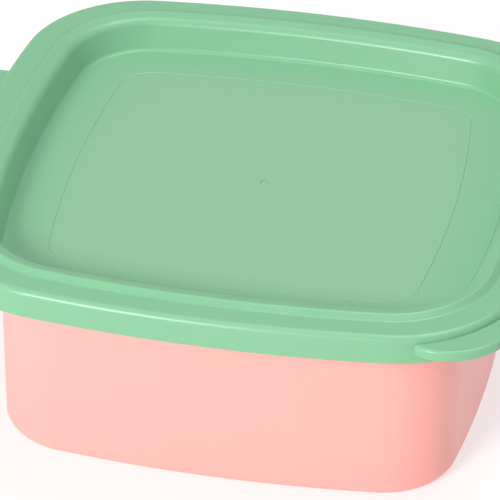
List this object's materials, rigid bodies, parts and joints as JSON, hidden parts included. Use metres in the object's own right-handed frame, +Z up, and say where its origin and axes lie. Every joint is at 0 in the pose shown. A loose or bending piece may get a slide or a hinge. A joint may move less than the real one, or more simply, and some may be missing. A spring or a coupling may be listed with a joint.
{
  "type": "snap lid food container",
  "caption": "Square food container: a tub with a flared, flanged rim and a press-on snap lid with a recessed panel, seal ridge, deep skirt and pull tabs.",
  "frame": {"origin": "on the table under the middle of the tub, in the plane of the foot ring", "axes": "+Z up, the way the lid lifts off; -Y the front, with the corner tab at the front right; -X the side with the wide tab"},
  "size_m": [0.1583, 0.1498, 0.0589],
  "materials": {
    "tub_plastic": "coral pink polypropylene, fine satin",
    "lid_plastic": "mint green polyethylene, fine satin"
  },
  "bodies": {
    "tub": {"tub": "tub_plastic"},
    "lid": {"lid": "lid_plastic"}
  },
  "joints": [
    {"name": "lid_lift", "type": "slide", "parent": "tub", "child": "lid", "axis": [0, 0, 1], "range_m": [0, 0.09]}
  ]
}
